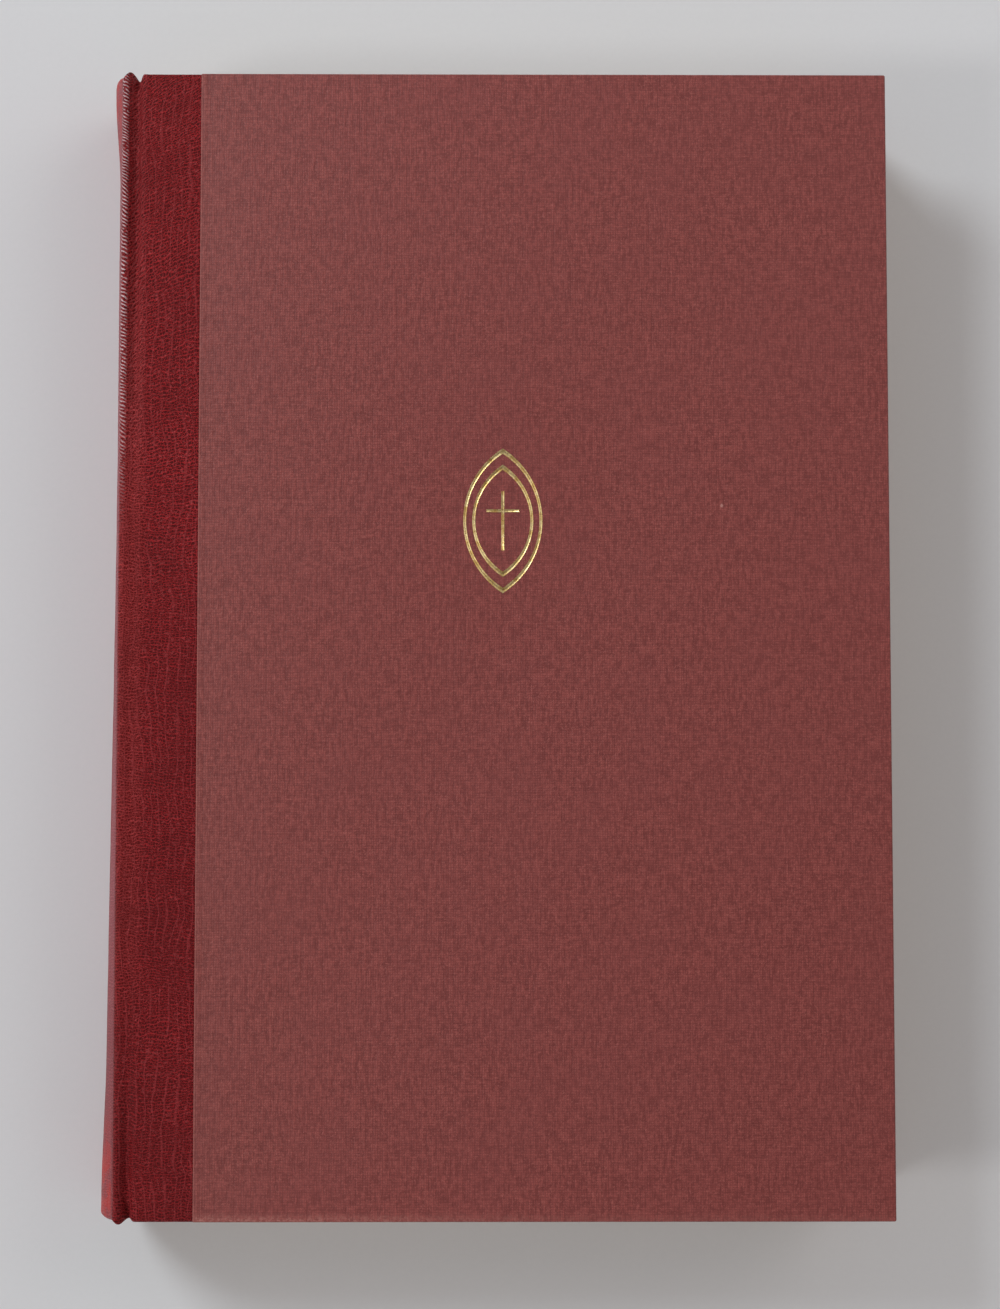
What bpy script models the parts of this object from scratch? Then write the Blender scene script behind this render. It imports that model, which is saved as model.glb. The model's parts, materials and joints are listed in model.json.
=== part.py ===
"""A quarter-leather prayer book, lying closed on its back cover.

X runs from the spine to the fore-edge, Y from the tail to the head and Z up, and the back cover lies on Z = 0.
Sections are drawn in two coordinates, in millimetres: u, the distance from the boards' spine edge towards the
fore-edge, and w, the height above the middle of the book's thickness.
"""

import math

import bpy

MM = 0.001
BOOK = "prayer_book"
CUT_MARGIN = 1.0  # how far a cutter reaches past what it cuts

# Covers
BOARD_WIDTH = 157.4  # spine edge to fore-edge, covering included
BOARD_HEIGHT = 240.0
BOOK_THICKNESS = 27.9  # over both covers
# Layers of a cover, as (nearest, farthest) depth below its outer face
COVERING_LAYER = (0.0, 0.35)
BOARD_LAYER = (0.40, 2.70)
TURN_IN_LAYER = (2.75, 3.05)
PASTEDOWN_LAYER = (3.10, 3.30)
TEXT_BLOCK_DEPTH = 3.40
LEATHER_WIDTH = 12.6  # leather that shows on a board
TURN_IN_WIDTH = 15.0
CLOTH_START = 12.7
LEATHER_START = 0.1
BOARD_START = 0.5  # the bare board, from its covered spine edge
PASTEDOWN_START = 1.0
PASTEDOWN_INSET = 4.0  # from the other three edges

# Spine
SPINE_BULGE = 7.0  # how far the spine stands behind the boards' edge
ARC_HALF_HEIGHT = 10.5  # the round back, between the shoulders
ARC_SAGITTA = 2.6
LEATHER_THICKNESS = 0.7
# Layers of the back, as depth below the leather's outer face
STIFFENER_LAYER = (0.80, 1.20)
LINING_LAYER = (1.30, 1.60)
MULL_LAYER = (1.70, 1.90)
TAPE_LAYER = (2.00, 2.30)
FOLDS_DEPTH = 2.40
BACK_REACH = 9.2  # half height of the layers on the round back
CAP_DEPTH = 3.0  # the headcap's and tailcap's reach over the headbands
CAP_REACH = 10.2
ARC_STEPS = 20
# The leather over the upper shoulder and into the joint; the lower shoulder is its mirror image
LEATHER_SHOULDER = (
    (-0.75, 13.20), (-1.50, 13.55), (-2.60, 13.90), (-3.40, 13.75), (-3.95, 13.10), (-4.25, 12.20),
)
FOLDS_SHOULDER = (
    (-0.90, 10.55), (-1.00, 12.10), (-2.30, 12.75), (-2.90, 12.50), (-3.25, 11.60), (-3.30, 10.40),
)

# Text block
BLOCK_HEIGHT = 234.0
LEAF_WIDTH = 156.2  # from a section's fold to its fore-edge
SECTIONS = 14
FLYLEAF_THICKNESS = 0.2
LEAF_GAP = 0.1
MULL_LENGTH = 214.0
LINING_LENGTH = 230.0
STIFFENER_LENGTH = 238.4
TAPE_WIDTH = 14.0
TAPE_POSITIONS = (-66.0, 0.0, 66.0)
KETTLE_POSITION = 104.0
THREAD_RADIUS = 0.14
HEADBAND_RADIUS = 1.1
HEADBAND_DEPTH = 3.55  # its core's middle, below the leather's outer face

# Hinges: the share of the front cover's turn that the flyleaf and the first sections follow
COVER_HINGE_U = -2.25
COVER_TURN = math.radians(179)
TURN_SHARES = (0.80, 0.68, 0.56, 0.44, 0.32, 0.20, 0.10)
FLYLEAF_HINGE_U = 3.2
HINGE_CLEARANCE = 0.05

# Gilt ornament on the front cover
ORNAMENT_U = 76.4
ORNAMENT_Y = 24.9
ORNAMENT_SIZE = (16.6, 30.5)
ORNAMENT_RING_GAP = 1.9  # from the outer line to the inner one
GILT_LINE = 0.65
POINT_SLANT = (1.0, 1.8)  # a line's width across the oval, and along it at its points
GILT_THICKNESS = 0.05
GILT_LIFT = 0.05
CROSS_SIZE = (7.0, 12.6)
CROSS_BAR_DROP = 4.2  # from the cross's head to the middle of its arms

MID_Z = BOOK_THICKNESS / 2
JOINT_X = (SPINE_BULGE - BOARD_WIDTH) / 2  # centres the whole book on X = 0
ARC_RADIUS = (ARC_HALF_HEIGHT**2 + ARC_SAGITTA**2) / (2 * ARC_SAGITTA)
ARC_CENTRE_U = ARC_RADIUS - SPINE_BULGE
BLOCK_TOP_W = MID_Z - TEXT_BLOCK_DEPTH
COVER_HINGE_W = MID_Z - PASTEDOWN_LAYER[1] / 2
SECTIONS_TOP_W = BLOCK_TOP_W - FLYLEAF_THICKNESS - LEAF_GAP
SECTION_PITCH = (2 * SECTIONS_TOP_W + LEAF_GAP) / SECTIONS
SECTION_THICKNESS = SECTION_PITCH - LEAF_GAP


# ---------------------------------------------------------------- scene, materials and helpers


def clear_scene():
    for obj in list(bpy.data.objects):
        bpy.data.objects.remove(obj, do_unlink=True)


def new_collection(name):
    collection = bpy.data.collections.new(name)
    bpy.context.scene.collection.children.link(collection)
    return collection


def linear(red, green, blue):
    """Display colour, 0 to 255, as the linear colour that a shader takes."""
    shares = (channel / 255 for channel in (red, green, blue))
    return tuple(s / 12.92 if s <= 0.04045 else ((s + 0.055) / 1.055) ** 2.4 for s in shares) + (1.0,)


def new_material(name, colour, roughness, metallic=0.0):
    material = bpy.data.materials.new(name)
    material.use_nodes = True
    shader = material.node_tree.nodes["Principled BSDF"]
    shader.inputs["Base Color"].default_value = colour
    shader.inputs["Roughness"].default_value = roughness
    shader.inputs["Metallic"].default_value = metallic
    material.diffuse_color = colour
    return material


def into(collection, obj, name):
    """Names obj and moves it into collection."""
    for holder in list(obj.users_collection):
        holder.objects.unlink(obj)
    collection.objects.link(obj)
    obj.name = name
    obj.data.name = name
    return obj


def box(collection, name, u_range, y_range, w_range):
    """A block between two values of u, y and w."""
    centre = [sum(span) / 2 for span in (u_range, y_range, w_range)]
    size = [high - low for low, high in (u_range, y_range, w_range)]
    bpy.ops.mesh.primitive_cube_add(
        size=1.0, location=((JOINT_X + centre[0]) * MM, centre[1] * MM, (MID_Z + centre[2]) * MM)
    )
    obj = into(collection, bpy.context.object, name)
    obj.scale = [side * MM for side in size]
    return obj


def new_outline(name, outlines, plane_turn, location, thickness):
    """A flat shape with one or more closed outlines, thickened both ways from its plane."""
    curve = bpy.data.curves.new(name, "CURVE")
    curve.dimensions = "2D"
    curve.fill_mode = "BOTH"
    curve.extrude = thickness / 2 * MM
    for points in outlines:
        spline = curve.splines.new("POLY")
        spline.points.add(len(points) - 1)
        for point, (across, up) in zip(spline.points, points):
            point.co = (across * MM, up * MM, 0.0, 1.0)
        spline.use_cyclic_u = True
    obj = bpy.data.objects.new(name, curve)
    obj.rotation_euler = (plane_turn, 0.0, 0.0)
    obj.location = location
    return obj


def bar(collection, name, outline, length, middle_y=0.0):
    """A bar along Y whose section is a closed outline of (u, w) points."""
    obj = new_outline(
        name, [outline], math.radians(90), (JOINT_X * MM, middle_y * MM, MID_Z * MM), length
    )
    collection.objects.link(obj)
    return obj


def as_mesh(obj):
    """Replaces a curve object with its mesh, and returns the new object."""
    graph = bpy.context.evaluated_depsgraph_get()
    mesh = bpy.data.meshes.new_from_object(obj.evaluated_get(graph))
    solid = bpy.data.objects.new(obj.name, mesh)
    obj.users_collection[0].objects.link(solid)
    solid.matrix_world = obj.matrix_world
    name = obj.name
    bpy.data.objects.remove(obj, do_unlink=True)
    solid.name = name
    return solid


def weld_caps(obj):
    weld = obj.modifiers.new("weld", "WELD")
    weld.merge_threshold = 0.001 * MM


def hide_cutter(obj):
    obj.hide_render = True
    obj.display_type = "WIRE"


def boolean(obj, other, operation):
    modifier = obj.modifiers.new(operation.lower(), "BOOLEAN")
    modifier.object = other
    modifier.operation = operation
    modifier.solver = "EXACT"


def hang_on(axis, *objects):
    """Makes these objects turn with an empty, without moving them."""
    for obj in objects:
        obj.parent = axis
        obj.location = [place - origin for place, origin in zip(obj.location, axis.location)]


def new_axis(collection, name, u, w):
    """An empty on a hinge's axis, which runs along Y."""
    axis = bpy.data.objects.new(name, None)
    axis.location = ((JOINT_X + u) * MM, 0.0, (MID_Z + w) * MM)
    axis.empty_display_size = 10 * MM
    collection.objects.link(axis)
    return axis


def paint(material, *objects):
    for obj in objects:
        obj.data.materials.append(material)


# ---------------------------------------------------------------- outlines


def arc(depth, reach):
    """Points on the round back, depth below the leather's outer face, from w = reach down to -reach."""
    radius = ARC_RADIUS - depth
    half_turn = math.asin(reach / radius)
    turns = [half_turn * (1 - 2 * i / ARC_STEPS) for i in range(ARC_STEPS + 1)]
    return [(ARC_CENTRE_U - radius * math.cos(t), radius * math.sin(t)) for t in turns]


def back_band(layer, reach=BACK_REACH):
    """The closed section of a layer that follows the round back."""
    return arc(layer[0], reach) + arc(layer[1], reach)[::-1]


def mirrored(points):
    return [(u, -w) for u, w in reversed(points)]


def fold_u(w):
    """Where the fold of a section at height w lies on the round back."""
    return ARC_CENTRE_U - math.sqrt((ARC_RADIUS - FOLDS_DEPTH) ** 2 - w**2)


def section_top(number):
    return SECTIONS_TOP_W - (number - 1) * SECTION_PITCH


def hinge_step(turn, next_turn, thickness):
    """How far the next leaf's hinge lies nearer the fore-edge, so that a leaf turned further clears it."""
    slope = 1 / math.tan(next_turn)
    clear_of_corner = thickness * math.sin(turn) - slope * (thickness * (1 - math.cos(turn)) + LEAF_GAP)
    return max(0.0, clear_of_corner) + 2 * HINGE_CLEARANCE


def leaf_hinges():
    """(u, w) of the hinges of the flyleaf and of the sections that turn, from the top down."""
    hinges = [(FLYLEAF_HINGE_U, BLOCK_TOP_W)]
    thickness = FLYLEAF_THICKNESS
    for number, (share, next_share) in enumerate(zip(TURN_SHARES, TURN_SHARES[1:]), start=1):
        step = hinge_step(share * COVER_TURN, next_share * COVER_TURN, thickness)
        hinges.append((hinges[-1][0] + step, section_top(number)))
        thickness = SECTION_THICKNESS
    return hinges


# ---------------------------------------------------------------- covers


def hollowed(cutters, obj, u_range):
    """Cuts the board's space out of a covering block, and the space between its turn-ins."""
    side = 1 if obj.location.z > MID_Z * MM else -1
    outer = side * MID_Z
    half_height = BOARD_HEIGHT / 2
    wall = COVERING_LAYER[1]
    layers = sorted(outer - side * depth for depth in (COVERING_LAYER[1], TURN_IN_LAYER[0]))
    room = box(
        cutters, obj.name + "_room", u_range, (wall - half_height, half_height - wall), layers
    )
    inner = half_height - TURN_IN_WIDTH
    depths = (TURN_IN_LAYER[0] - CUT_MARGIN, TURN_IN_LAYER[1] + CUT_MARGIN)
    through = sorted(outer - side * depth for depth in depths)
    window_end = min(u_range[1], BOARD_WIDTH - TURN_IN_WIDTH)
    window = box(cutters, obj.name + "_window", (u_range[0], window_end), (-inner, inner), through)
    for cutter in (room, window):
        hide_cutter(cutter)
        boolean(obj, cutter, "DIFFERENCE")


def make_cover(book, cutters, name, side, paints):
    """One cover, with its hinge's empty: side is 1 for the front cover and -1 for the back cover."""
    outer = side * MID_Z

    def heights(layer):
        return sorted(outer - side * depth for depth in layer)

    half_height = BOARD_HEIGHT / 2
    bare = half_height - BOARD_LAYER[0]
    board = box(
        book, name + "_board", (BOARD_START, BOARD_WIDTH - BOARD_LAYER[0]), (-bare, bare), heights(BOARD_LAYER)
    )
    covering = heights((COVERING_LAYER[0], TURN_IN_LAYER[1]))
    cloth = box(
        book, name + "_cloth", (CLOTH_START, BOARD_WIDTH), (-half_height, half_height), covering
    )
    hollowed(cutters, cloth, (CLOTH_START - CUT_MARGIN, BOARD_WIDTH - COVERING_LAYER[1]))
    leather = box(
        book, name + "_leather", (LEATHER_START, LEATHER_WIDTH), (-half_height, half_height), covering
    )
    hollowed(cutters, leather, (LEATHER_START - CUT_MARGIN, LEATHER_WIDTH + CUT_MARGIN))
    pasted = half_height - PASTEDOWN_INSET
    pastedown = box(
        book, name + "_pastedown", (PASTEDOWN_START, BOARD_WIDTH - PASTEDOWN_INSET), (-pasted, pasted),
        heights(PASTEDOWN_LAYER),
    )
    paint(paints["board"], board)
    paint(paints["cloth"], cloth)
    paint(paints["leather"], leather)
    paint(paints["endpaper"], pastedown)
    axis = new_axis(book, name + "_cover_axis", COVER_HINGE_U, side * COVER_HINGE_W)
    hang_on(axis, board, cloth, leather, pastedown)
    return axis


def pointed_oval(width, height, inset):
    """The outline of two arcs that meet at the top and the bottom, drawn in by inset."""
    width -= 2 * inset * POINT_SLANT[0]
    height -= 2 * inset * POINT_SLANT[1]
    radius = (width**2 + height**2) / (4 * width)
    half_turn = math.asin(height / 2 / radius)
    turns = [half_turn * (2 * i / ARC_STEPS - 1) for i in range(ARC_STEPS)]
    right = [(radius * math.cos(t) + width / 2 - radius, radius * math.sin(t)) for t in turns]
    return right + [(-across, -up) for across, up in right]


def latin_cross(width, height, bar_drop, line):
    """A plain cross's outline, centred on its height."""
    half, arm, top = line / 2, width / 2, height / 2
    bar_top, bar_bottom = top - bar_drop + half, top - bar_drop - half
    right = [(half, -top), (half, bar_bottom), (arm, bar_bottom), (arm, bar_top), (half, bar_top), (half, top)]
    return right + [(-across, up) for across, up in reversed(right)]


def make_ornament(book, axis, gold):
    """Two nested pointed ovals and a plain cross, each a thin line of gilt on the cloth."""
    place = (
        (JOINT_X + ORNAMENT_U) * MM,
        ORNAMENT_Y * MM,
        (BOOK_THICKNESS + GILT_LIFT + GILT_THICKNESS / 2) * MM,
    )
    lines = {"gilt_cross": [latin_cross(*CROSS_SIZE, CROSS_BAR_DROP, GILT_LINE)]}
    for name, inset in (("gilt_outer_oval", 0.0), ("gilt_inner_oval", ORNAMENT_RING_GAP)):
        lines[name] = [pointed_oval(*ORNAMENT_SIZE, inset + edge) for edge in (0.0, GILT_LINE)]
    for name, outlines in lines.items():
        obj = new_outline(name, outlines, 0.0, place, GILT_THICKNESS)
        book.objects.link(obj)
        paint(gold, obj)
        hang_on(axis, obj)


# ---------------------------------------------------------------- spine


def make_spine_leather(book, cutters, leather):
    """The leather over the back and both shoulders, with its headcap and tailcap turned in."""
    profile = list(LEATHER_SHOULDER) + arc(0.0, ARC_HALF_HEIGHT) + mirrored(LEATHER_SHOULDER)
    curve = bpy.data.curves.new("spine_leather", "CURVE")
    curve.dimensions = "2D"
    curve.extrude = BOARD_HEIGHT / 2 * MM
    spline = curve.splines.new("POLY")
    spline.points.add(len(profile) - 1)
    for point, (u, w) in zip(spline.points, profile):
        point.co = (u * MM, w * MM, 0.0, 1.0)
    sheet = bpy.data.objects.new("spine_leather", curve)
    sheet.rotation_euler = (math.radians(90), 0.0, 0.0)
    sheet.location = (JOINT_X * MM, 0.0, MID_Z * MM)
    book.objects.link(sheet)
    bpy.context.view_layer.update()
    spine = as_mesh(sheet)
    solidify = spine.modifiers.new("thickness", "SOLIDIFY")
    solidify.thickness = LEATHER_THICKNESS * MM
    solidify.offset = 1.0
    solidify.use_even_offset = True
    for end, name in ((1, "headcap"), (-1, "tailcap")):
        cap = bar(
            cutters, name, back_band((LEATHER_THICKNESS / 2, CAP_DEPTH), CAP_REACH), LEATHER_THICKNESS,
            end * (BOARD_HEIGHT - LEATHER_THICKNESS) / 2,
        )
        bpy.context.view_layer.update()
        cap = as_mesh(cap)
        weld_caps(cap)
        hide_cutter(cap)
        boolean(spine, cap, "UNION")
    paint(leather, spine)


def thread(book, name, depth, radius, y):
    """A round thread or cord that follows the back, across the folds."""
    curve = bpy.data.curves.new(name, "CURVE")
    curve.dimensions = "3D"
    curve.bevel_depth = radius * MM
    curve.bevel_resolution = 2
    curve.use_fill_caps = True
    points = arc(depth, BACK_REACH - 2 * radius)
    spline = curve.splines.new("POLY")
    spline.points.add(len(points) - 1)
    for point, (u, w) in zip(spline.points, points):
        point.co = (u * MM, 0.0, w * MM, 1.0)
    obj = bpy.data.objects.new(name, curve)
    obj.location = (JOINT_X * MM, y * MM, MID_Z * MM)
    book.objects.link(obj)
    return obj


def make_back(book, paints):
    """What lies between the leather and the folds: stiffener, lining, mull, tapes, stitches and bands."""
    paint(paints["card"], bar(book, "spine_stiffener", back_band(STIFFENER_LAYER), STIFFENER_LENGTH))
    paint(paints["lining"], bar(book, "spine_lining", back_band(LINING_LAYER), LINING_LENGTH))
    paint(paints["mull"], bar(book, "mull", back_band(MULL_LAYER), MULL_LENGTH))
    for name, y in zip(("tail_tape", "middle_tape", "head_tape"), TAPE_POSITIONS):
        paint(paints["tape"], bar(book, name, back_band(TAPE_LAYER), TAPE_WIDTH, y))
    stitch_depth = sum(TAPE_LAYER) / 2
    band_y = BLOCK_HEIGHT / 2 + HEADBAND_RADIUS + LEAF_GAP
    for end, stitch, band in (
        (1, "head_kettle_stitch", "headband"),
        (-1, "tail_kettle_stitch", "tailband"),
    ):
        paint(paints["thread"], thread(book, stitch, stitch_depth, THREAD_RADIUS, end * KETTLE_POSITION))
        paint(paints["headband"], thread(book, band, HEADBAND_DEPTH, HEADBAND_RADIUS, end * band_y))


# ---------------------------------------------------------------- text block


def make_folds(book, hinges, paper):
    """The sewn and glued back edges of all the sections, with the shoulders that hold the boards."""
    deepest_u, deepest_w = hinges[-1]
    stairs = [(deepest_u - HINGE_CLEARANCE, -BLOCK_TOP_W), (deepest_u - HINGE_CLEARANCE, deepest_w)]
    for (u, w), (lower_u, lower_w) in zip(hinges[-2::-1], hinges[:0:-1]):
        if u < lower_u:
            stairs.append((u - HINGE_CLEARANCE, lower_w))
        stairs.append((u - HINGE_CLEARANCE, w))
    outline = stairs + list(FOLDS_SHOULDER) + arc(FOLDS_DEPTH, BACK_REACH) + mirrored(FOLDS_SHOULDER)
    paint(paper, bar(book, "sewn_folds", outline, BLOCK_HEIGHT))


def make_leaves(book, name, hinge_u, top_w, thickness, paper):
    """A flyleaf or a section, from its hinge to the fore-edge, which lies one leaf's width from its fold."""
    fore_edge = fold_u(top_w - thickness / 2) + LEAF_WIDTH
    half_height = BLOCK_HEIGHT / 2
    leaves = box(
        book, name, (hinge_u + HINGE_CLEARANCE, fore_edge), (-half_height, half_height),
        (top_w - thickness, top_w),
    )
    paint(paper, leaves)
    return leaves


def make_text_block(book, paints):
    hinges = leaf_hinges()
    make_folds(book, hinges, paints["paper"])
    flyleaf = make_leaves(book, "front_flyleaf", *hinges[0], FLYLEAF_THICKNESS, paints["endpaper"])
    hang_on(new_axis(book, "front_flyleaf_axis", *hinges[0]), flyleaf)
    for number in range(1, SECTIONS + 1):
        name = f"section_{number:02d}"
        turns = number < len(hinges)
        hinge_u = hinges[number][0] if turns else hinges[-1][0]
        section = make_leaves(book, name, hinge_u, section_top(number), SECTION_THICKNESS, paints["paper"])
        if turns:
            hang_on(new_axis(book, name + "_axis", *hinges[number]), section)
    back_top = FLYLEAF_THICKNESS - BLOCK_TOP_W
    make_leaves(book, "back_flyleaf", hinges[-1][0], back_top, FLYLEAF_THICKNESS, paints["endpaper"])


def make_paints():
    return {
        "leather": new_material("leather", linear(104, 33, 38), 0.45),
        "cloth": new_material("book_cloth", linear(124, 66, 62), 0.85),
        "gold": new_material("gilt", linear(222, 190, 120), 0.30, 1.0),
        "board": new_material("board", linear(150, 138, 120), 0.90),
        "endpaper": new_material("endpaper", linear(226, 219, 202), 0.85),
        "paper": new_material("paper", linear(232, 226, 210), 0.85),
        "card": new_material("card", linear(172, 158, 132), 0.90),
        "lining": new_material("lining_paper", linear(186, 170, 140), 0.90),
        "mull": new_material("mull", linear(214, 206, 186), 0.95),
        "tape": new_material("linen_tape", linear(218, 208, 184), 0.90),
        "thread": new_material("linen_thread", linear(230, 222, 200), 0.80),
        "headband": new_material("headband_silk", linear(150, 44, 48), 0.50),
    }


def main():
    clear_scene()
    book = new_collection(BOOK)
    cutters = new_collection("cutters")
    paints = make_paints()
    front_axis = make_cover(book, cutters, "front", 1, paints)
    make_cover(book, cutters, "back", -1, paints)
    make_ornament(book, front_axis, paints["gold"])
    make_spine_leather(book, cutters, paints["leather"])
    make_back(book, paints)
    make_text_block(book, paints)


main()
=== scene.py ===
"""The looks of a quarter-leather prayer book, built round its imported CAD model.

Shapes are worked out in millimetres in two coordinates of the book's section: u, the distance from the
boards' spine edge towards the fore-edge, and w, the height above the middle of the book's thickness. Y runs
from the tail to the head.
"""

import json
import math

import bmesh
import bpy
import numpy as np
from mathutils import Euler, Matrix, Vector, noise


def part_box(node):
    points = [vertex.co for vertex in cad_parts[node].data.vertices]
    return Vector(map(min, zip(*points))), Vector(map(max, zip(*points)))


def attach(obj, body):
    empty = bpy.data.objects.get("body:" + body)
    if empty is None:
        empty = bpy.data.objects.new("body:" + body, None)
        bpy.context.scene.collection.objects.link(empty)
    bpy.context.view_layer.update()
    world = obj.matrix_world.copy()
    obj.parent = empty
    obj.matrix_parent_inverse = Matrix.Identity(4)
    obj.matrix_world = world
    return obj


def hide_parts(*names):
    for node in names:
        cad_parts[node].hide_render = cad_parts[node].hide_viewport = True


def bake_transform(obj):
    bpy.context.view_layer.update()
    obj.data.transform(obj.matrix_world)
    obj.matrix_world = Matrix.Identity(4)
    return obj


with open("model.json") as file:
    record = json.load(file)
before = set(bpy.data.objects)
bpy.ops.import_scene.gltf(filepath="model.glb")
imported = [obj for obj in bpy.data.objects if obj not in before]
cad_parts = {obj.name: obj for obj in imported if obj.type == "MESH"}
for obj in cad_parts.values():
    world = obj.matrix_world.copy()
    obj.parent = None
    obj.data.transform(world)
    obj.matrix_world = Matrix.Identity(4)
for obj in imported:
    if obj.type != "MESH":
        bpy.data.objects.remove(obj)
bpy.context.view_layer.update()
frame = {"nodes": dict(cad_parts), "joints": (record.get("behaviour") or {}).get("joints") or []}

MM = 0.001
JOINT_LEATHER_GAP = 0.1  # from the boards' spine edge to the CAD leather on them

COVER_LOW, COVER_HIGH = (Vector(corner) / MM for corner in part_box("front_cloth"))
BLOCK_LOW, BLOCK_HIGH = (Vector(corner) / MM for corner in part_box("sewn_folds"))
LEATHER_LOW = Vector(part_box("front_leather")[0]) / MM

JOINT_X = LEATHER_LOW.x - JOINT_LEATHER_GAP
HALF_THICKNESS = COVER_HIGH.z / 2
HALF_HEIGHT = COVER_HIGH.y
BOARD_WIDTH = COVER_HIGH.x - JOINT_X
LAP_U = COVER_LOW.x - JOINT_X  # where the cloth begins
COVER_DEPTH = COVER_HIGH.z - COVER_LOW.z  # from a cover's face to its turn-ins' inner face
HALF_BLOCK = BLOCK_HIGH.y

# ---------------------------------------------------------------- meshes


def place(u, y, w):
    """A point of the book's section, in metres in the frame."""
    return ((JOINT_X + u) * MM, y * MM, (HALF_THICKNESS + w) * MM)


def smoothstep(value, low, high):
    share = min(1.0, max(0.0, (value - low) / (high - low)))
    return share * share * (3 - 2 * share)


def mix(a, b, share):
    return a + (b - a) * share


def link(obj):
    bpy.context.scene.collection.objects.link(obj)
    return obj


def shade(mesh, sharp_degrees=50):
    mesh.shade_smooth()
    mesh.set_sharp_from_angle(angle=math.radians(sharp_degrees))


def grid_object(name, points, uvs, closed=False):
    """A surface over rows of points, with a UV in metres at each. closed joins the last row to the first."""
    rows, columns = len(points), len(points[0])
    mesh = bpy.data.meshes.new(name)
    last = rows if closed else rows - 1
    faces = []
    for i in range(last):
        for j in range(columns - 1):
            a, b = i * columns + j, (i + 1) % rows * columns + j
            faces.append((a, b, b + 1, a + 1))
    mesh.from_pydata([p for row in points for p in row], [], faces)
    layer = mesh.uv_layers.new(name="UVMap")
    flat = [uv for row in uvs for uv in row]
    for polygon in mesh.polygons:
        for loop in polygon.loop_indices:
            layer.data[loop].uv = flat[mesh.loops[loop].vertex_index]
    shade(mesh)
    return link(bpy.data.objects.new(name, mesh))


def spline_rows(before, rows, steps):
    """Rows of numbers along a smooth curve drawn towards each given row: a cubic B-spline."""
    table = np.array([before, *rows, rows[-1], rows[-1]], float)
    out = []
    for a, b, c, d in zip(table, table[1:], table[2:], table[3:]):
        for t in np.arange(steps) / steps:
            weights = ((1 - t) ** 3, 3 * t**3 - 6 * t**2 + 4, -3 * t**3 + 3 * t**2 + 3 * t + 1, t**3)
            out.append((weights[0] * a + weights[1] * b + weights[2] * c + weights[3] * d) / 6)
    return out + [table[-1]]


# ---------------------------------------------------------------- materials


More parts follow.
